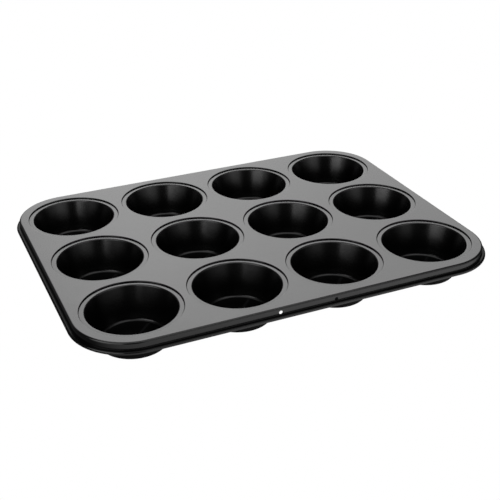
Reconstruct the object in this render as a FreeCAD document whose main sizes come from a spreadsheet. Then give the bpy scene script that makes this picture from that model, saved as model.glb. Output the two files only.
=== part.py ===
import FreeCAD, Part
import os

import Sketcher

# A muffin tin built up from sheet steel: one pressed frame that carries twelve drawn cups, and a
# wire that the frame's edge is rolled round.
# Millimetres. The origin is the middle of the plane the cups stand on. +X runs along the rows of
# four cups, +Y from the front edge to the back edge, and +Z is up.

SKETCH_ORIGIN = -1  # geometry index of a sketch's own origin point
START, END, CENTRE = 1, 2, 3  # points of a sketch line, arc or circle
SEED_RADIUS = 0.05  # a rounding starts this small and grows to the size it is bound to
EVEN_SPACING = -1.0  # tells a pattern to keep its own offset between two occurrences
ROWS = ("front", "middle", "back")
COLUMNS = (1, 2, 3, 4)

DIMENSIONS = (
    ("pan_height", 28.7, "underside of the cups to the top of the deck"),
    ("deck_length", 345.2, "flat deck between the edge bends, left to right"),
    ("deck_width", 261.2, "flat deck between the edge bends, front to back"),
    ("deck_corner", 43.0, "plan radius of the flat deck's corners"),
    ("deck_lap", 3.0, "width of the deck border that is swept in one with the skirt"),
    ("sheet", 0.5, "thickness of the frame's sheet"),
    ("edge_bend", 1.6, "outside radius of the bend from deck to skirt"),
    ("skirt_drop", 5.9, "top of the deck to the top of the rolled edge"),
    ("root_bend", 0.5, "radius of the hollow where the skirt turns out to the rolled edge"),
    ("curl_reach", 3.05, "edge of the flat deck out to the middle of the rolled edge"),
    ("curl_size", 2.9, "outside diameter of the rolled edge"),
    ("curl_round", 1.4, "outside radius of each quarter of the rolled edge"),
    ("wire_radius", 0.9, "wire inside the rolled edge"),
    ("pitch", 85.0, "distance between neighbouring cups, the same both ways"),
    ("seat_radius", 39.1, "wall of the round recess that a cup's flange lies in"),
    ("seat_depth", 1.6, "top of the deck to the face the flange rests on"),
    ("seat_opening", 36.1, "radius of the opening a cup hangs through"),
    ("seat_blend", 41.0, "radius at which the recess joins the flat deck"),
    ("seat_edge", 0.6, "outside radius of the recess's top edge"),
    ("seat_root", 0.3, "inside radius of the recess's foot"),
    ("cup_sheet", 0.5, "thickness of a cup's sheet"),
    ("flange_radius", 38.7, "outer edge of a cup's flange"),
    ("mouth_radius", 35.1, "inside of the wall where it meets the plane of the flange"),
    ("mouth_round", 1.2, "outside radius of the bend from flange to wall"),
    ("foot_radius", 26.5, "inside of the wall where it meets the plane of the floor"),
    ("foot_round", 2.5, "inside radius between wall and floor"),
    ("hole_diameter", 3.0, "holes in the front skirt to hang the tin up by"),
    ("hole_drop", 3.85, "top of the deck to the middle of a hole"),
    ("hole_spacing", 46.5, "between the two holes"),
    ("hole_shift", -4.5, "middle of the pair from the middle of the front edge"),
)


def make_sheet(doc):
    """Keeps every driving dimension in one spreadsheet, as name, value and meaning."""
    sheet = doc.addObject("Spreadsheet::Sheet", "Dims")
    for row, (name, value, meaning) in enumerate(DIMENSIONS, start=1):
        sheet.set(f"A{row}", name)
        sheet.set(f"B{row}", str(value))
        sheet.set(f"C{row}", meaning)
        sheet.setAlias(f"B{row}", name)
    doc.recompute()
    return sheet


# Sketches

def new_sketch(body, name, role, **offsets):
    """A sketch on one of the body's own planes, moved along that plane's x, y or z."""
    sketch = body.newObject("Sketcher::SketchObject", name)
    plane = next(f for f in body.Origin.OriginFeatures if f.Role == role)
    sketch.AttachmentSupport = [(plane, "")]
    sketch.MapMode = "FlatFace"
    for axis, expression in offsets.items():
        sketch.setExpression(f"AttachmentOffset.Base.{axis}", expression)
    return sketch


def bind(sketch, constraint, expression):
    """Adds a dimension to the sketch that takes its value from the sheet."""
    index = sketch.addConstraint(constraint)
    sketch.setExpression(f"Constraints[{index}]", expression)


def place(sketch, item, point, x, y):
    """Fixes one point of a sketch item at (x, y)."""
    for kind, value in (("DistanceX", x), ("DistanceY", y)):
        bind(sketch, Sketcher.Constraint(kind, SKETCH_ORIGIN, START, item, point, 1.0), value)


def draw_outline(sketch, corners):
    """Closed outline through corners (x, y) or (x, y, rounding radius), all given as expressions."""
    count = len(corners)
    rough = [FreeCAD.Vector(10 + i, 10 + i * i, 0) for i in range(count)]
    for i in range(count):
        sketch.addGeometry(Part.LineSegment(rough[i], rough[(i + 1) % count]), False)
    for i in range(count):
        following = (i + 1) % count
        sketch.addConstraint(Sketcher.Constraint("Coincident", i, END, following, START))
    for i, corner in enumerate(corners):
        place(sketch, i, START, corner[0], corner[1])
    sketch.Document.recompute()
    for i, corner in enumerate(corners):
        if len(corner) == 3:
            sketch.fillet(i, START, SEED_RADIUS, True, True)
            arc = sketch.GeometryCount - 2  # the corner point it keeps comes after it
            bind(sketch, Sketcher.Constraint("Radius", arc, SEED_RADIUS), corner[2])
    sketch.Document.recompute()
    return sketch


def draw_circle(sketch, x, y, radius):
    circle = sketch.addGeometry(Part.Circle(FreeCAD.Vector(1, 1, 0), FreeCAD.Vector(0, 0, 1), 1))
    place(sketch, circle, CENTRE, x, y)
    bind(sketch, Sketcher.Constraint("Radius", circle, 1.0), radius)
    return sketch


def draw_rounded_rectangle(sketch, grow):
    """The deck's plan outline grown by a distance, starting from the middle of the back edge."""
    right, back = f"Dims.deck_length / 2 + {grow}", f"Dims.deck_width / 2 + {grow}"
    corner = f"Dims.deck_corner + {grow}"
    corners = [("0", back)]
    for x, y in ((right, back), (right, f"-({back})"), (f"-({right})", f"-({back})"), (f"-({right})", back)):
        corners.append((x, y, corner))
    return draw_outline(sketch, corners)


# Solid features

def sweep(body, name, section, path):
    pipe = body.newObject("PartDesign::AdditivePipe", name)
    pipe.Profile = section
    pipe.Spine = (path, [])
    return pipe


def revolve(body, name, section):
    turned = body.newObject("PartDesign::Revolution", name)
    turned.Profile = section
    turned.ReferenceAxis = (section, ["V_Axis"])
    turned.Angle = 360
    return turned


def check_cut(doc, cut, base):
    """A cut that points away from the solid removes nothing and shows no error."""
    doc.recompute()
    if cut.Shape.Volume >= base.Shape.Volume:
        raise RuntimeError(f"{cut.Label} removes nothing")


# The frame

DECK_TOP = "Dims.pan_height"
DECK_UNDER = "Dims.pan_height - Dims.sheet"


def rim_corners():
    """Section of the edge at the middle of the back: deck border, skirt, and the edge rolled outwards."""
    border = "Dims.deck_width / 2 - Dims.deck_lap"
    skirt = "Dims.deck_width / 2 + Dims.edge_bend"
    middle = "Dims.deck_width / 2 + Dims.curl_reach"
    outer, inner = f"{middle} + Dims.curl_size / 2", f"{middle} - Dims.curl_size / 2"
    top = "Dims.pan_height - Dims.skirt_drop"
    bottom = f"{top} - Dims.curl_size"
    lip = f"{top} - Dims.curl_size / 2"
    inner_round = "Dims.curl_round - Dims.sheet"
    return [
        (border, DECK_TOP),
        (skirt, DECK_TOP, "Dims.edge_bend"),
        (skirt, top, "Dims.root_bend"),
        (outer, top, "Dims.curl_round"),
        (outer, bottom, "Dims.curl_round"),
        (inner, bottom, "Dims.curl_round"),
        (inner, lip),
        (f"{inner} + Dims.sheet", lip),
        (f"{inner} + Dims.sheet", f"{bottom} + Dims.sheet", inner_round),
        (f"{outer} - Dims.sheet", f"{bottom} + Dims.sheet", inner_round),
        (f"{outer} - Dims.sheet", f"{top} - Dims.sheet", inner_round),
        (f"{skirt} - Dims.sheet", f"{top} - Dims.sheet", "Dims.root_bend + Dims.sheet"),
        (f"{skirt} - Dims.sheet", DECK_UNDER, "Dims.edge_bend - Dims.sheet"),
        (border, DECK_UNDER),
    ]


def seat_corners():
    """Section of the recess round one opening: step down from the deck, then the face a flange lies on."""
    seat_top = "Dims.pan_height - Dims.seat_depth"
    seat_under = f"{seat_top} - Dims.sheet"
    outer_wall = "Dims.seat_radius + Dims.sheet"
    return [
        ("Dims.seat_blend", DECK_TOP),
        ("Dims.seat_radius", DECK_TOP, "Dims.seat_edge"),
        ("Dims.seat_radius", seat_top, "Dims.seat_root"),
        ("Dims.seat_opening", seat_top),
        ("Dims.seat_opening", seat_under),
        (outer_wall, seat_under, "Dims.seat_root + Dims.sheet"),
        (outer_wall, DECK_UNDER, "Dims.seat_edge - Dims.sheet"),
        ("Dims.seat_blend", DECK_UNDER),
    ]


def make_deck(body):
    outline = new_sketch(body, "DeckOutline", "XY_Plane", z=DECK_UNDER)
    deck = body.newObject("PartDesign::Pad", "Deck")
    deck.Profile = draw_rounded_rectangle(outline, "(-Dims.deck_lap)")
    deck.setExpression("Length", "Dims.sheet")


def make_rim(body):
    path = draw_rounded_rectangle(new_sketch(body, "RimPath", "XY_Plane", z=DECK_TOP), "0")
    section = draw_outline(new_sketch(body, "RimSection", "YZ_Plane"), rim_corners())
    sweep(body, "Rim", section, path)


def make_seats(doc, body):
    """Opens the deck at the front left cup, sets the recess in it, and repeats both over the grid."""
    base = body.Tip
    first_column, first_row = "-1.5 * Dims.pitch", "-Dims.pitch"
    opening_plan = new_sketch(body, "OpeningPlan", "XY_Plane", z=DECK_TOP)
    opening = body.newObject("PartDesign::Pocket", "Opening")
    opening.Profile = draw_circle(opening_plan, first_column, first_row, "Dims.seat_blend")
    opening.Type = "ThroughAll"
    check_cut(doc, opening, base)
    section = new_sketch(body, "SeatSection", "XZ_Plane", x=first_column, z="Dims.pitch")
    seat = revolve(body, "Seat", draw_outline(section, seat_corners()))
    grid = body.newObject("PartDesign::LinearPattern", "SeatGrid")
    grid.Originals = [opening, seat]
    grid.Direction = (opening_plan, ["H_Axis"])
    grid.Direction2 = (opening_plan, ["V_Axis"])
    grid.Mode = grid.Mode2 = "Spacing"
    grid.setExpression("Offset", "Dims.pitch")
    grid.setExpression("Offset2", "Dims.pitch")
    grid.Occurrences = len(COLUMNS)
    grid.Occurrences2 = len(ROWS)
    grid.Spacings2 = [EVEN_SPACING] * (len(ROWS) - 1)
    body.Tip = grid


def make_hang_holes(doc, body):
    """Two round holes through the front skirt, cut forwards from the middle plane."""
    base = body.Tip
    plan = new_sketch(body, "HolePlan", "XZ_Plane")
    for side in ("-", "+"):
        middle = f"Dims.hole_shift {side} Dims.hole_spacing / 2"
        draw_circle(plan, middle, "Dims.pan_height - Dims.hole_drop", "Dims.hole_diameter / 2")
    holes = body.newObject("PartDesign::Pocket", "HangHoles")
    holes.Profile = plan
    holes.Type = "ThroughAll"
    holes.Reversed = True
    check_cut(doc, holes, base)


def make_frame(doc):
    body = doc.addObject("PartDesign::Body", "Frame")
    body.Label = "pan_frame"
    make_deck(body)
    make_rim(body)
    make_seats(doc, body)
    make_hang_holes(doc, body)
    return body


# The wire in the rolled edge

def make_rim_wire(doc):
    body = doc.addObject("PartDesign::Body", "RimWire")
    body.Label = "rim_wire"
    height = "Dims.pan_height - Dims.skirt_drop - Dims.curl_size / 2"
    path = draw_rounded_rectangle(new_sketch(body, "WirePath", "XY_Plane", z=height), "Dims.curl_reach")
    section = new_sketch(body, "WireSection", "YZ_Plane")
    draw_circle(section, "Dims.deck_width / 2 + Dims.curl_reach", height, "Dims.wire_radius")
    sweep(body, "Wire", section, path)
    return body


# The cups

FLANGE_TOP = "(Dims.pan_height - Dims.seat_depth + Dims.cup_sheet)"
WALL_SLOPE = f"((Dims.mouth_radius - Dims.foot_radius) / ({FLANGE_TOP} - Dims.cup_sheet))"
WALL_ACROSS = f"(Dims.cup_sheet / cos(atan({WALL_SLOPE})))"


def cup_corners():
    """Half section of a cup: inside from the middle of the floor to the flange, then back outside."""
    under_flange = f"{FLANGE_TOP} - Dims.cup_sheet"
    foot = f"Dims.foot_radius - Dims.cup_sheet * {WALL_SLOPE} + {WALL_ACROSS}"
    mouth = f"Dims.mouth_radius - Dims.cup_sheet * {WALL_SLOPE} + {WALL_ACROSS}"
    return [
        ("0", "Dims.cup_sheet"),
        ("Dims.foot_radius", "Dims.cup_sheet", "Dims.foot_round"),
        ("Dims.mouth_radius", FLANGE_TOP, "Dims.mouth_round"),
        ("Dims.flange_radius", FLANGE_TOP),
        ("Dims.flange_radius", under_flange),
        (mouth, under_flange, "Dims.mouth_round - Dims.cup_sheet"),
        (foot, "0", "Dims.foot_round + Dims.cup_sheet"),
        ("0", "0"),
    ]


def make_cup(doc, row, column):
    """One drawn cup, with its flange resting in the frame's recess at this place in the grid."""
    label = f"cup_{ROWS[row]}_{COLUMNS[column]}"
    body = doc.addObject("PartDesign::Body", label)
    body.Label = label
    section = draw_outline(new_sketch(body, f"{label}_section", "XZ_Plane"), cup_corners())
    revolve(body, f"{label}_shell", section)
    body.setExpression("Placement.Base.x", f"{column - (len(COLUMNS) - 1) / 2} * Dims.pitch")
    body.setExpression("Placement.Base.y", f"{row - (len(ROWS) - 1) / 2} * Dims.pitch")
    return body


def check(doc, bodies):
    """Stops if any object failed to build or any piece isn't a sound solid."""
    for item in doc.Objects:
        if "Invalid" in item.State or "Error" in item.State:
            raise RuntimeError(f"{item.Label} failed: {item.State}")
    for body in bodies:
        if body.Shape.isNull() or not body.Shape.isValid() or len(body.Shape.Solids) != 1:
            raise RuntimeError(f"{body.Label} is not one sound solid")


def main():
    doc = FreeCAD.newDocument("MuffinTin")
    make_sheet(doc)
    bodies = [make_frame(doc), make_rim_wire(doc)]
    bodies += [make_cup(doc, row, column) for row in range(len(ROWS)) for column in range(len(COLUMNS))]
    doc.recompute()
    check(doc, bodies)
    os.makedirs("parts", exist_ok=True)
    for body in bodies:
        body.Shape.exportStep(os.path.join("parts", f"{body.Label}.step"))


main()
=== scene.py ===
import math

import bpy
import bmesh
import numpy as np
from mathutils import Matrix, Vector


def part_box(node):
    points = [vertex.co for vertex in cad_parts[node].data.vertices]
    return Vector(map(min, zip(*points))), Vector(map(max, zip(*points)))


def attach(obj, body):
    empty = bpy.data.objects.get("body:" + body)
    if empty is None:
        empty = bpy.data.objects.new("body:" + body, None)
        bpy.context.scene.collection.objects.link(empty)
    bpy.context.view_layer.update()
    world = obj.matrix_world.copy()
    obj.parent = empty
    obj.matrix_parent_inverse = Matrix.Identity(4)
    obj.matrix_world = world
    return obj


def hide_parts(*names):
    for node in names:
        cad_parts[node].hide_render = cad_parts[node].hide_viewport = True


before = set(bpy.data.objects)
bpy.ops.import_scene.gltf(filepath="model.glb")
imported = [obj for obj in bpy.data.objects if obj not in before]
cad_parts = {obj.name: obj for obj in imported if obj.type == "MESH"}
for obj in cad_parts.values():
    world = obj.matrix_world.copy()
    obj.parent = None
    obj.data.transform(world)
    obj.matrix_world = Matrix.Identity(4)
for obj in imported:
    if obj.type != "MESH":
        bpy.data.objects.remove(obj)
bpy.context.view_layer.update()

# A muffin tin: a pressed frame, twelve drawn cups and the wire in the frame's rolled edge. Each piece
# is a sheet section swept or turned into shape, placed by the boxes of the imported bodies.

MM = 0.001  # the sizes below are millimetres, and Blender works in metres

# Sizes of the frame and its wire
SHEET = 0.5
DECK_LAP = 3.0  # border of the deck that is swept in one with the skirt
EDGE_BEND = 1.6
SKIRT_DROP = 5.9
ROOT_BEND = 0.5
CURL_REACH = 3.05
CURL_SIZE = 2.9
DECK_CORNER = 43.0
SEAT_RADIUS = 39.1
SEAT_DEPTH = 1.6
SEAT_OPENING = 36.1
SEAT_BLEND = 41.0
SEAT_EDGE = 0.6
SEAT_ROOT = 0.3
HOLE_RADIUS = 1.5
HOLE_DROP = 3.85
HOLE_PLACES = (-27.75, 18.75)
WIRE_RADIUS = 0.9

# Sizes of a cup
CUP_SHEET = 0.5
MOUTH_RADIUS = 35.1
MOUTH_ROUND = 1.2
FOOT_RADIUS = 26.5
FOOT_ROUND = 2.5

# Places, from the frame
ROWS = ("front", "middle", "back")
COLUMNS = (1, 2, 3, 4)
FRAME_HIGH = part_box("pan_frame")[1] / MM
DECK_TOP = FRAME_HIGH.z
RIM_REACH = CURL_REACH + CURL_SIZE / 2
DECK_HALF = (FRAME_HIGH.x - RIM_REACH, FRAME_HIGH.y - RIM_REACH)
LAP_HALF = tuple(half - DECK_LAP for half in DECK_HALF)
LAP_CORNER = DECK_CORNER - DECK_LAP
PITCH = (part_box("cup_front_2")[0].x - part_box("cup_front_1")[0].x) / MM

# Colours of the coats, the wire and the paper
FRAME_DARK, FRAME_LIGHT = (0.0015, 0.0015, 0.0016, 1), (0.003, 0.003, 0.0031, 1)
CUP_DARK, CUP_LIGHT = (0.0006, 0.0006, 0.0006, 1), (0.0012, 0.0012, 0.0012, 1)
WORN_GREY = (0.02, 0.02, 0.021, 1)
STEEL, OXIDE = (0.33, 0.33, 0.34, 1), (0.15, 0.13, 0.12, 1)
WHITE = (1, 1, 1, 1)

# Studio, in metres and degrees. Azimuth 0 is in front of the tin and positive to the right.
FLOOR_SIZE = 6.0  # half its side
FLOOR_HEIGHT = -0.0001  # just clear of the cups' undersides
FLOOR_DIM = 0.05  # what the tin mirrors of the floor at its sides and back
FLOOR_LIT = 1.25  # and in front of it
BACKDROP_WAY = (0.39, 0.92, 0.0)
BACKDROP_TOP = 0.66  # sine of the elevation where the backdrop ends
BACKDROP_SOFT = 0.1
BACKDROP_LIGHT = 2.75
WALL_LIGHT = 0.06
CEILING_LIGHT = 0.05
# Soft windows. height is the sine of the elevation of the middle. across and up say how far from the
# middle, as sines, a window starts to fade and where it ends.
WINDOWS = (
    {"azimuth": 20.0, "height": 0.3, "across": (0.1, 0.4), "up": (0.02, 0.25), "strength": 1.3},
    {"azimuth": 48.0, "height": 0.3, "across": (0.1, 0.55), "up": (0.02, 0.25), "strength": 1.1},
    {"azimuth": -72.0, "height": 0.27, "across": (0.1, 0.35), "up": (0.02, 0.24), "strength": 0.9},
    {"azimuth": -15.0, "height": 0.85, "across": (0.5, 0.9), "up": (0.1, 0.2), "strength": 1.2},
)
SHADE_HALF_WIDTH = 0.18
SHADE_TOP = 0.9
SHADE_SHIFT = 0.01  # to the camera's right
SHADE_LIGHT = 0.05
CAMERA_AZIMUTH = -23.65
CAMERA_ELEVATION = 28.0
CAMERA_ROLL = -0.59
CAMERA_DISTANCE = 0.7607
CAMERA_TARGET = (-0.0116, -0.0395)  # on the deck
CAMERA_LENS = 66.55  # millimetres, as is the sensor
SENSOR_WIDTH = 36.0

# Fineness of the meshes
ARC_STEP = math.radians(11)
CRISP = math.radians(35)  # a sharper fold than this is shown as an edge
WIRE_SIDES = 24
WIRE_BEND_STEPS = 24
CURL_STEPS = 27
HOLE_SIDES = 48
HALVINGS = 50  # of the span in which a distance to the outline is sought
SUPPORT = 0.3  # a long flat gets a point this far from its ends, so that a bend's shading stays in it
RING_STEPS = 160
DECK_STEPS = 6
WELD = 0.001  # points closer than this, in millimetres, are one


# Sections

def rounded_line(corners):
    """Points of an open line through (x, z) corners; (x, z, radius) gives a corner an arc."""
    points = [Vector(corners[0][:2])]
    for before, corner, after in zip(corners, corners[1:], corners[2:]):
        tip = Vector(corner[:2])
        if len(corner) == 2:
            points.append(tip)
            continue
        back = (Vector(before[:2]) - tip).normalized()
        ahead = (Vector(after[:2]) - tip).normalized()
        half = back.angle(ahead) / 2
        centre = tip + (back + ahead).normalized() * corner[2] / math.sin(half)
        first = tip + back * corner[2] / math.tan(half) - centre
        last = tip + ahead * corner[2] / math.tan(half) - centre
        turn = first.angle_signed(last)
        count = max(3, math.ceil(abs(turn) / ARC_STEP))
        points += [centre + Matrix.Rotation(-turn * i / count, 2) @ first for i in range(count + 1)]
    points.append(Vector(corners[-1][:2]))
    return add_supports(points)


def add_supports(points):
    """Adds a point near each end of every long straight stretch."""
    held = [points[0]]
    for here, there in zip(points, points[1:]):
        step = there - here
        if step.length > 4 * SUPPORT:
            held += [here + step.normalized() * SUPPORT, there - step.normalized() * SUPPORT]
        held.append(there)
    return held


def sheet_section(line, thickness):
    """A sheet's shown side and its other side.

    The metal is right of the line's travel, or left of it if the thickness is negative.
    """
    pts = np.array(line)
    steps = np.diff(pts, axis=0)
    steps /= np.linalg.norm(steps, axis=1)[:, None]
    sides = np.stack([steps[:, 1], -steps[:, 0]], axis=1)
    sides = np.vstack([sides[:1], sides[:-1] + sides[1:], sides[-1:]])
    length = np.linalg.norm(sides, axis=1)[:, None]
    sides /= length
    mitre = np.ones_like(length)
    mitre[1:-1] = 2 / length[1:-1]
    return pts, pts + sides * mitre * thickness


def rim_line():
    """Outward distance from the lap line and height: deck border, skirt, and the edge rolled outwards."""
    skirt = DECK_LAP + EDGE_BEND
    middle = DECK_LAP + CURL_REACH
    radius = CURL_SIZE / 2
    top = DECK_TOP - SKIRT_DROP
    line = rounded_line([(0, DECK_TOP), (skirt, DECK_TOP, EDGE_BEND), (skirt, top, ROOT_BEND), (middle, top)])
    centre = Vector((middle, top - radius))
    turns = np.linspace(math.pi / 2, -math.pi, CURL_STEPS + 1)[1:]
    return line + [centre + Vector((math.cos(turn), math.sin(turn))) * radius for turn in turns]


def seat_line():
    """Radius and height from the flat deck inwards: step down, then the face a cup's flange lies on."""
    seat = DECK_TOP - SEAT_DEPTH
    corners = [(SEAT_BLEND, DECK_TOP), (SEAT_RADIUS, DECK_TOP, SEAT_EDGE)]
    corners += [(SEAT_RADIUS, seat, SEAT_ROOT), (SEAT_OPENING, seat)]
    return rounded_line(corners)


def cup_line():
    """Radius and height of a cup's inside, from the edge of its flange to the middle of its floor."""
    flange_top = DECK_TOP - SEAT_DEPTH + CUP_SHEET
    corners = [(cup_flange_radius(), flange_top), (MOUTH_RADIUS, flange_top, MOUTH_ROUND)]
    corners += [(FOOT_RADIUS, CUP_SHEET, FOOT_ROUND), (0, CUP_SHEET)]
    return rounded_line(corners)


def cup_flange_radius():
    """Outer edge of a cup's flange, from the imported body's box."""
    low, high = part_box("cup_front_1")
    return (high.x - low.x) / 2 / MM


# Plan outline of the frame

def outline_gap(x, y, half, corner):
    """Distance from (x, y) out to a rounded rectangle, negative inside it."""
    over_x, over_y = abs(x) - (half[0] - corner), abs(y) - (half[1] - corner)
    outside = math.hypot(max(over_x, 0), max(over_y, 0))
    return outside + min(max(over_x, over_y), 0) - corner


def outline_normal(x, y, half, corner):
    """Outward direction of a rounded rectangle at a point on it."""
    over_x, over_y = abs(x) - (half[0] - corner), abs(y) - (half[1] - corner)
    normal = Vector((max(over_x, 0), max(over_y, 0)))
    if normal.length < WELD:
        normal = Vector((1, 0)) if over_x > over_y else Vector((0, 1))
    elif min(over_x, over_y) <= 0:
        normal = Vector((1, 0)) if over_x > 0 else Vector((0, 1))
    normal.normalize()
    return Vector((math.copysign(normal.x, x), math.copysign(normal.y, y)))


def reach_outline(start, direction, half, corner):
    """How far the outline is from a point inside it, along a direction."""
    near, far = 0.0, 2 * max(half)
    for _ in range(HALVINGS):
        middle = (near + far) / 2
        p = start + direction * middle
        if outline_gap(p.x, p.y, half, corner) < 0:
            near = middle
        else:
            far = middle
    return (near + far) / 2


def cell_corners(column, row):
    """The directions, seen from a cup, in which the sides of its piece of the deck meet."""
    centre = cup_centre(column, row)
    found = []
    for turn in range(4):
        side = Matrix.Rotation(turn * math.pi / 2, 2) @ Vector((1, 0))
        if not has_neighbour(column, row, side):
            continue
        across = Vector((-side.y, side.x))
        for way in (-1, 1):
            along = PITCH / 2
            if not has_neighbour(column, row, across * way):
                along = reach_outline(centre + side * PITCH / 2, across * way, LAP_HALF, LAP_CORNER)
            corner = side * PITCH / 2 + across * way * along
            found.append(math.atan2(corner.y, corner.x))
    return found


def has_neighbour(column, row, side):
    """If there is another cup on a side of this one."""
    return 0 <= column + round(side.x) < len(COLUMNS) and 0 <= row + round(side.y) < len(ROWS)


def cup_centre(column, row):
    """A cup's axis in plan."""
    return Vector(((column - (len(COLUMNS) - 1) / 2) * PITCH, (row - (len(ROWS) - 1) / 2) * PITCH))


def cell_angles(column, row):
    """Even directions round a cup, with the nearest one moved to each corner of its piece of the deck."""
    step = 2 * math.pi / RING_STEPS
    angles = [i * step for i in range(RING_STEPS)]
    for corner in cell_corners(column, row):
        angles[round(corner / step) % RING_STEPS] = corner % (2 * math.pi)
    return angles


def cell_reach(column, row, direction):
    """How far a cup's piece of the deck goes in a direction, and if it ends at the outline."""
    reach = reach_outline(cup_centre(column, row), direction, LAP_HALF, LAP_CORNER)
    at_outline = True
    for part, side in ((direction.x, Vector((1, 0))), (direction.y, Vector((0, 1)))):
        side = side * math.copysign(1, part)
        if abs(part) > WELD and has_neighbour(column, row, side):
            shared = PITCH / 2 / abs(part)
            if shared < reach - WELD:
                reach, at_outline = shared, False
            elif shared < reach + WELD:
                reach = shared
    return reach, at_outline


# Meshes

def ring_of(columns):
    """Points of the columns, and faces between each column and the next, all the way round."""
    tall = len(columns[0])
    points = [point for column in columns for point in column]
    faces = []
    for i in range(len(columns)):
        here, following = i * tall, (i + 1) % len(columns) * tall
        faces += [(here + k, here + k + 1, following + k + 1, following + k) for k in range(tall - 1)]
    return points, faces


def make_piece(name, parts, node, material):
    """One welded smooth mesh from (points, faces) parts in millimetres, standing for a node of the frame."""
    mesh = bpy.data.meshes.new(name)
    work = bmesh.new()
    for points, faces in parts:
        verts = [work.verts.new(Vector(p) * MM) for p in points]
        for face in faces:
            work.faces.new([verts[i] for i in face])
    bmesh.ops.remove_doubles(work, verts=work.verts, dist=WELD * MM)
    bmesh.ops.recalc_face_normals(work, faces=work.faces)
    work.to_mesh(mesh)
    work.free()
    piece = bpy.data.objects.new(name, mesh)
    bpy.context.scene.collection.objects.link(piece)
    mesh.materials.append(material)
    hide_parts(node)
    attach(piece, "root")
    return piece


def finish_surface(piece):
    """Smooth shading with crisp cut edges."""
    piece.data.shade_smooth()
    piece.data.set_sharp_from_angle(angle=CRISP)


def both_sides(line, thickness):
    """A sheet's shown side, then its other side run backwards, as plain points."""
    shown, hidden = sheet_section(line, thickness)
    return [tuple(p) for p in shown], [tuple(p) for p in hidden[::-1]]


def frame_cell(column, row):
    """One cup's piece of the deck with its recess, and the points where it ends at the lap line."""
    shown, hidden = both_sides(seat_line(), -SHEET)
    centre = cup_centre(column, row)
    columns, outline = [], []
    for angle in cell_angles(column, row):
        direction = Vector((math.cos(angle), math.sin(angle)))
        reach, at_outline = cell_reach(column, row, direction)
        flat = [SEAT_BLEND + (reach - SEAT_BLEND) * (1 - i / DECK_STEPS) for i in range(DECK_STEPS)]
        section = [(radius, DECK_TOP) for radius in flat] + shown
        section += hidden + [(radius, DECK_TOP - SHEET) for radius in reversed(flat)]
        columns.append([(*(centre + direction * radius), height) for radius, height in section])
        if at_outline:
            outline.append(centre + direction * reach)
    return ring_of(columns), outline


def frame_rim(outline):
    """The deck's border, skirt and rolled edge, swept round the outline's points."""
    shown, hidden = both_sides(rim_line(), SHEET)
    order = sorted(outline, key=lambda p: math.atan2(p.y, p.x))
    path = [p for p, last in zip(order, order[-1:] + order[:-1]) if (p - last).length > WELD]
    columns = []
    for p in path:
        normal = outline_normal(p.x, p.y, LAP_HALF, LAP_CORNER)
        columns.append([(*(p + normal * out), height) for out, height in shown + hidden])
    return ring_of(columns)


def cut_hang_holes(piece):
    """Two round holes through the front skirt."""
    for i, place in enumerate(HOLE_PLACES):
        bpy.ops.mesh.primitive_cylinder_add(
            vertices=HOLE_SIDES,
            radius=HOLE_RADIUS * MM,
            depth=4 * EDGE_BEND * MM,
            location=(place * MM, -(DECK_HALF[1] + EDGE_BEND) * MM, (DECK_TOP - HOLE_DROP) * MM),
            rotation=(math.pi / 2, 0, 0),
        )
        drill = bpy.context.active_object
        cut = piece.modifiers.new(f"hole_{i}", "BOOLEAN")
        cut.operation = "DIFFERENCE"
        cut.solver = "EXACT"
        cut.object = drill
        bpy.context.view_layer.objects.active = piece
        bpy.ops.object.modifier_apply(modifier=cut.name)
        bpy.data.objects.remove(drill)


def make_frame(material):
    """The deck with its recesses, one cup's piece at a time, then the rim and the holes."""
    parts, outline = [], []
    for row in range(len(ROWS)):
        for column in range(len(COLUMNS)):
            cell, ends = frame_cell(column, row)
            parts.append(cell)
            outline += ends
    parts.append(frame_rim(outline))
    piece = make_piece("pan_frame_shell", parts, "pan_frame", material)
    cut_hang_holes(piece)
    finish_surface(piece)
    return piece


def make_cup(column, row, material):
    """A cup turned round its axis, with one point in the middle of each side of its floor."""
    shown, hidden = both_sides(cup_line(), -CUP_SHEET)
    centre = cup_centre(column, row)
    columns = []
    for i in range(RING_STEPS):
        turn = 2 * math.pi * i / RING_STEPS
        direction = Vector((math.cos(turn), math.sin(turn)))
        section = hidden[1:] + shown[:-1]
        columns.append([(*(centre + direction * radius), height) for radius, height in section])
    points, faces = ring_of(columns)
    tall = len(columns[0])
    for end, (_, height) in ((0, hidden[0]), (tall - 1, shown[-1])):
        points.append((*centre, height))
        for i in range(RING_STEPS):
            faces.append((i * tall + end, (i + 1) % RING_STEPS * tall + end, len(points) - 1))
    node = f"cup_{ROWS[row]}_{COLUMNS[column]}"
    piece = make_piece(f"{node}_shell", [(points, faces)], node, material)
    finish_surface(piece)
    return piece


def make_wire(material):
    """The wire, swept along the middle of the rolled edge."""
    height = DECK_TOP - SKIRT_DROP - CURL_SIZE / 2
    half = tuple(h - DECK_CORNER for h in DECK_HALF)
    path = []
    for quarter, (x, y) in enumerate(((1, 1), (-1, 1), (-1, -1), (1, -1))):
        for i in range(WIRE_BEND_STEPS + 1):
            turn = (quarter + i / WIRE_BEND_STEPS) * math.pi / 2
            out = Vector((math.cos(turn), math.sin(turn)))
            path.append((Vector((x * half[0], y * half[1])) + out * (DECK_CORNER + CURL_REACH), out))
    columns = []
    for p, out in path:
        column = []
        for i in range(WIRE_SIDES + 1):
            turn = 2 * math.pi * i / WIRE_SIDES
            side, up = WIRE_RADIUS * math.cos(turn), WIRE_RADIUS * math.sin(turn)
            column.append((*(p + out * side), height + up))
        columns.append(column)
    piece = make_piece("rim_wire_loop", [ring_of(columns)], "rim_wire", material)
    finish_surface(piece)
    return piece


# Materials

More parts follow.
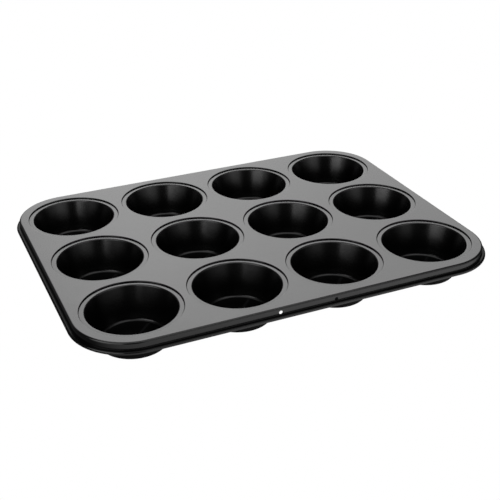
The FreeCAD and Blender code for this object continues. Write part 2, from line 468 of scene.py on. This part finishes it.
class Nodes:
    """Short ways to add nodes to a material's or the world's tree."""

    def __init__(self, tree):
        self.tree = tree

    def add(self, kind, inputs=None, **settings):
        node = self.tree.nodes.new(kind)
        for name, value in settings.items():
            setattr(node, name, value)
        for name, value in (inputs or {}).items():
            if isinstance(value, bpy.types.NodeSocket):
                self.tree.links.new(value, node.inputs[name])
            else:
                node.inputs[name].default_value = value
        return node

    def math(self, operation, a, b=0.0, c=0.0):
        return self.add("ShaderNodeMath", {0: a, 1: b, 2: c}, operation=operation).outputs[0]

    def product(self, *factors):
        result = factors[0]
        for factor in factors[1:]:
            result = self.math("MULTIPLY", result, factor)
        return result

    def noise(self, where, scale, detail=2.0, roughness=0.5):
        inputs = {"Vector": where, "Scale": scale, "Detail": detail, "Roughness": roughness}
        return self.add("ShaderNodeTexNoise", inputs).outputs["Fac"]

    def spread(self, value, low, high, to_low, to_high, smooth=False):
        """Maps low..high to to_low..to_high and holds the ends, evenly or with soft ends."""
        inputs = {"Value": value, "From Min": low, "From Max": high, "To Min": to_low, "To Max": to_high}
        node = self.add("ShaderNodeMapRange", inputs)
        if smooth:
            node.interpolation_type = "SMOOTHSTEP"
        return node.outputs["Result"]

    def dot(self, a, b):
        return self.add("ShaderNodeVectorMath", {0: a, 1: b}, operation="DOT_PRODUCT").outputs["Value"]

    def blend(self, share, a, b):
        node = self.add("ShaderNodeMix", data_type="RGBA")
        for socket, value in ((node.inputs[0], share), (node.inputs[6], a), (node.inputs[7], b)):
            if isinstance(value, bpy.types.NodeSocket):
                self.tree.links.new(value, socket)
            else:
                socket.default_value = value
        return node.outputs[2]

    def white_to_eye(self, light):
        """Strength of a surface that is white for the camera, and gives light to everything else."""
        seen = self.add("ShaderNodeLightPath").outputs["Is Camera Ray"]
        return self.math("ADD", seen, self.math("MULTIPLY", self.math("SUBTRACT", 1.0, seen), light))


def new_material(name):
    material = bpy.data.materials.new(name)
    material.use_nodes = True
    material.node_tree.nodes.clear()
    return material, Nodes(material.node_tree)


def coating(name, dark, light, rough_low, rough_high, painted_sheen):
    """Black non-stick coat: faint mottling, fine flecks, an orange-peel skin, and grey on worn bends."""
    material, nodes = new_material(name)
    where = nodes.add("ShaderNodeTexCoord").outputs["Object"]
    cloud = nodes.noise(where, 45.0, 4.0)
    grain = nodes.noise(where, 1400.0, 3.0, 0.65)
    fleck = nodes.spread(nodes.noise(where, 2600.0, 1.0), 0.68, 0.74, 0.0, 1.0)
    colour = nodes.blend(nodes.spread(cloud, 0.3, 0.7, 0.0, 1.0), dark, light)
    colour = nodes.blend(nodes.math("MULTIPLY", fleck, 0.3), colour, WORN_GREY)
    edge = nodes.add("ShaderNodeNewGeometry").outputs["Pointiness"]
    worn = nodes.spread(edge, 0.52, 0.62, 0.0, 1.0, smooth=True)
    colour = nodes.blend(nodes.math("MULTIPLY", worn, 0.25), colour, WORN_GREY)
    texture = nodes.math("MULTIPLY_ADD", grain, 0.35, cloud)
    roughness = nodes.spread(texture, 0.35, 1.0, rough_low, rough_high)
    fine = nodes.add("ShaderNodeBump", {"Height": grain, "Strength": 0.06, "Distance": 0.0002})
    skin = {
        "Height": nodes.noise(where, 260.0, 2.0),
        "Strength": 0.05,
        "Distance": 0.0004,
        "Normal": fine.outputs["Normal"],
    }
    height = nodes.add("ShaderNodeSeparateXYZ", {"Vector": where}).outputs["Z"]
    inputs = {
        "Base Color": colour,
        "Roughness": roughness,
        "IOR": 1.5,
        "Normal": nodes.add("ShaderNodeBump", skin).outputs["Normal"],
        # Reflection strength by height: painted highlight and shade.
        "Specular IOR Level": painted_sheen(nodes, height),
    }
    shader = nodes.add("ShaderNodeBsdfPrincipled", inputs)
    nodes.add("ShaderNodeOutputMaterial", {"Surface": shader.outputs[0]})
    return material


def cup_painted_highlight_and_shade(nodes, height):
    """Painted highlight and shade in a cup's reflection: least on the floor, bright at the foot, dull low on
    the wall, brighter to the mouth.
    """
    # Painted shade: the wall reflects less from 25 mm down to 11 mm above the floor.
    painted_wall_fade = nodes.spread(height, 0.011, 0.025, 0.15, 0.5)
    # Painted highlight: extra reflection at the foot, fading out from 4 mm to 7 mm up.
    painted_foot_highlight = nodes.spread(height, 0.004, 0.007, 0.3, 0.0)
    # Painted shade: the floor itself keeps only a faint reflection.
    above_painted_floor_shade = nodes.spread(height, 0.0006, 0.0012, 0.0, 1.0)
    return nodes.math("MULTIPLY_ADD", nodes.math("ADD", painted_wall_fade, painted_foot_highlight), above_painted_floor_shade, 0.04)


def frame_painted_fold_shade(nodes, height):
    """Painted shade: the reflection is dulled along the fold between the skirt and the rolled edge."""
    fold = (DECK_TOP - SKIRT_DROP) * MM
    # Painted shade: the reflection drops in a band about 0.4 mm either side of the fold's height.
    above_start = nodes.spread(height, fold - 0.0006, fold - 0.0002, 0.0, 1.0)
    below_end = nodes.spread(height, fold + 0.0002, fold + 0.0006, 1.0, 0.0)
    return nodes.math("MULTIPLY_ADD", nodes.product(above_start, below_end), -0.45, 0.5)


def drawn_steel(name):
    """Bare wire with fine marks from drawing and a few dull oxide patches."""
    material, nodes = new_material(name)
    where = nodes.add("ShaderNodeTexCoord").outputs["Object"]
    patch = nodes.noise(where, 120.0, 4.0)
    marks = nodes.noise(where, 2200.0, 3.0, 0.7)
    colour = nodes.blend(nodes.spread(patch, 0.4, 0.7, 0.0, 1.0), STEEL, OXIDE)
    roughness = nodes.spread(nodes.math("MULTIPLY_ADD", marks, 0.3, patch), 0.4, 0.9, 0.28, 0.55)
    bump = nodes.add("ShaderNodeBump", {"Height": marks, "Strength": 0.15, "Distance": 0.0001})
    normal = bump.outputs["Normal"]
    inputs = {"Base Color": colour, "Metallic": 1.0, "Roughness": roughness, "Normal": normal}
    shader = nodes.add("ShaderNodeBsdfPrincipled", inputs)
    nodes.add("ShaderNodeOutputMaterial", {"Surface": shader.outputs[0]})
    return material


# Studio

def add_card(name, corners, material):
    """A flat four-sided piece of the studio."""
    mesh = bpy.data.meshes.new(name)
    mesh.from_pydata(corners, [], [(0, 1, 2, 3)])
    mesh.materials.append(material)
    card = bpy.data.objects.new(name, mesh)
    bpy.context.scene.collection.objects.link(card)
    return card


def make_floor():
    """Pale floor, white to the eye and clear from below; the tin mirrors it dim, but lit in front."""
    material, nodes = new_material("floor_paper")
    surface = nodes.add("ShaderNodeNewGeometry").outputs
    parts = nodes.add("ShaderNodeSeparateXYZ", {"Vector": surface["Position"]}).outputs
    front = nodes.spread(parts["Y"], -0.105, -0.18, 0.0, 1.0, smooth=True)
    left = nodes.spread(parts["X"], -0.28, 0.1, 0.45, 1.0, smooth=True)
    right = nodes.spread(parts["X"], 0.2, 0.32, 1.0, 0.05, smooth=True)
    mirrored = nodes.spread(nodes.product(front, left, right), 0.0, 1.0, FLOOR_DIM, FLOOR_LIT)
    paper = nodes.add("ShaderNodeEmission", {"Color": WHITE, "Strength": nodes.white_to_eye(mirrored)})
    clear = nodes.add("ShaderNodeBsdfTransparent")
    sides = {0: surface["Backfacing"], 1: paper.outputs[0], 2: clear.outputs[0]}
    shader = nodes.add("ShaderNodeMixShader", sides)
    nodes.add("ShaderNodeOutputMaterial", {"Surface": shader.outputs[0]})
    turns = ((-1, -1), (1, -1), (1, 1), (-1, 1))
    add_card("floor", [(x * FLOOR_SIZE, y * FLOOR_SIZE, FLOOR_HEIGHT) for x, y in turns], material)


def glow(nodes, way, azimuth, height, across, up, strength):
    """Light from one soft-edged window on the far wall, by the way a ray goes."""
    turn = math.radians(azimuth)
    ahead = nodes.dot(way, (math.sin(turn), -math.cos(turn), 0.0))
    aside = nodes.math("ABSOLUTE", nodes.dot(way, (math.cos(turn), math.sin(turn), 0.0)))
    parts = nodes.add("ShaderNodeSeparateXYZ", {"Vector": way}).outputs
    above = nodes.math("ABSOLUTE", nodes.math("SUBTRACT", parts["Z"], height))
    return nodes.product(
        nodes.spread(aside, *across, 1.0, 0.0, smooth=True),
        nodes.spread(above, *up, strength, 0.0, smooth=True),
        nodes.spread(ahead, 0.0, 0.2, 0.0, 1.0, smooth=True),
    )


def make_camera_shade():
    """The dark shape of whoever holds the camera, as the cups mirror it; the camera doesn't see it."""
    material, nodes = new_material("camera_shade")
    shader = nodes.add("ShaderNodeEmission", {"Color": WHITE, "Strength": SHADE_LIGHT})
    nodes.add("ShaderNodeOutputMaterial", {"Surface": shader.outputs[0]})
    half = SHADE_HALF_WIDTH
    corners = [(-half, 0, 0), (half, 0, 0), (half, SHADE_TOP, 0), (-half, SHADE_TOP, 0)]
    shade = add_card("camera_shade", corners, material)
    shade.visible_camera = False
    turn = math.radians(CAMERA_AZIMUTH)
    shade.rotation_euler = (math.pi / 2, 0, turn)
    camera = bpy.context.scene.camera.location
    right = Vector((math.cos(turn), math.sin(turn), 0))
    shade.location = Vector((camera.x, camera.y, 0)) + right * SHADE_SHIFT


def backdrop_light(nodes, way, parts):
    """A bright low backdrop behind the tin, brighter further up and dimmer to both sides."""
    top, soft = BACKDROP_TOP, BACKDROP_SOFT
    return nodes.product(
        nodes.spread(nodes.dot(way, BACKDROP_WAY), 0.05, 0.6, 0.0, 1.0, smooth=True),
        nodes.spread(parts["X"], 0.2, 0.6, 1.0, 0.75, smooth=True),
        nodes.spread(parts["X"], 0.58, 0.75, 1.0, 0.0, smooth=True),
        nodes.spread(parts["X"], -0.2, 0.25, 0.03, 1.0, smooth=True),
        nodes.spread(parts["Z"], 0.36, 0.52, 0.75, 1.2),
        nodes.spread(parts["Z"], top - soft, top + soft, 1.0, 0.0, smooth=True),
        BACKDROP_LIGHT,
    )


def make_world():
    """White to the eye; for light, the backdrop, the windows, dim walls and a dark ceiling."""
    world = bpy.data.worlds.new("studio")
    bpy.context.scene.world = world
    world.use_nodes = True
    world.node_tree.nodes.clear()
    nodes = Nodes(world.node_tree)
    way = nodes.add("ShaderNodeTexCoord").outputs["Generated"]
    parts = nodes.add("ShaderNodeSeparateXYZ", {"Vector": way}).outputs
    light = nodes.spread(parts["Z"], 0.1, 0.7, WALL_LIGHT, CEILING_LIGHT, smooth=True)
    light = nodes.math("ADD", backdrop_light(nodes, way, parts), light)
    for window in WINDOWS:
        light = nodes.math("ADD", light, glow(nodes, way, **window))
    shader = nodes.add("ShaderNodeBackground", {"Color": WHITE, "Strength": nodes.white_to_eye(light)})
    nodes.add("ShaderNodeOutputWorld", {"Surface": shader.outputs[0]})


def add_softbox(name, place, target, size, power):
    """A soft area light at a place, facing a target; metres and watts."""
    light = bpy.data.lights.new(name, "AREA")
    light.shape = "RECTANGLE"
    light.size, light.size_y = size
    light.energy = power
    lamp = bpy.data.objects.new(name, light)
    bpy.context.scene.collection.objects.link(lamp)
    lamp.visible_camera = False
    lamp.location = place
    look_at(lamp, Vector(target))


def look_at(thing, target, roll=0.0):
    """Turns a light or camera to face a target, then rolls it by some degrees."""
    look = (target - thing.location).to_track_quat("-Z", "Y")
    thing.rotation_mode = "QUATERNION"
    thing.rotation_quaternion = look @ Matrix.Rotation(math.radians(roll), 3, "Z").to_quaternion()


def make_camera():
    """The camera, placed by angle and distance from its target."""
    data = bpy.data.cameras.new("camera")
    data.sensor_width = SENSOR_WIDTH
    data.lens = CAMERA_LENS
    camera = bpy.data.objects.new("camera", data)
    bpy.context.scene.collection.objects.link(camera)
    target = Vector((*CAMERA_TARGET, DECK_TOP * MM))
    turn, rise = math.radians(CAMERA_AZIMUTH), math.radians(CAMERA_ELEVATION)
    level = Vector((math.sin(turn), -math.cos(turn), 0))
    back = level * math.cos(rise) + Vector((0, 0, math.sin(rise)))
    camera.location = target + back * CAMERA_DISTANCE
    look_at(camera, target, CAMERA_ROLL)
    bpy.context.scene.camera = camera


def main():
    # Each coat's reflection strength carries painted highlight and shade by height.
    frame_coat = coating("frame_coating", FRAME_DARK, FRAME_LIGHT, 0.14, 0.2, frame_painted_fold_shade)
    cup_coat = coating("cup_coating", CUP_DARK, CUP_LIGHT, 0.2, 0.26, cup_painted_highlight_and_shade)
    make_frame(frame_coat)
    make_wire(drawn_steel("edge_wire"))
    for row in range(len(ROWS)):
        for column in range(len(COLUMNS)):
            make_cup(column, row, cup_coat)
    make_floor()
    make_world()
    add_softbox(
        "overhead_softbox",
        place=(0.135, 0.304, 1.594),
        target=(0, 0, 0),
        size=(1.6, 0.7),
        power=5.6,
    )
    add_softbox(
        "left_panel",
        place=(-0.485, -0.94, 0.215),
        target=(0.51, -1.04, 0.215),
        size=(1.73, 0.2),
        power=2.4,
    )
    make_camera()
    make_camera_shade()
    scene = bpy.context.scene
    scene.view_settings.view_transform = "Standard"
    scene.view_settings.look = "None"


main()
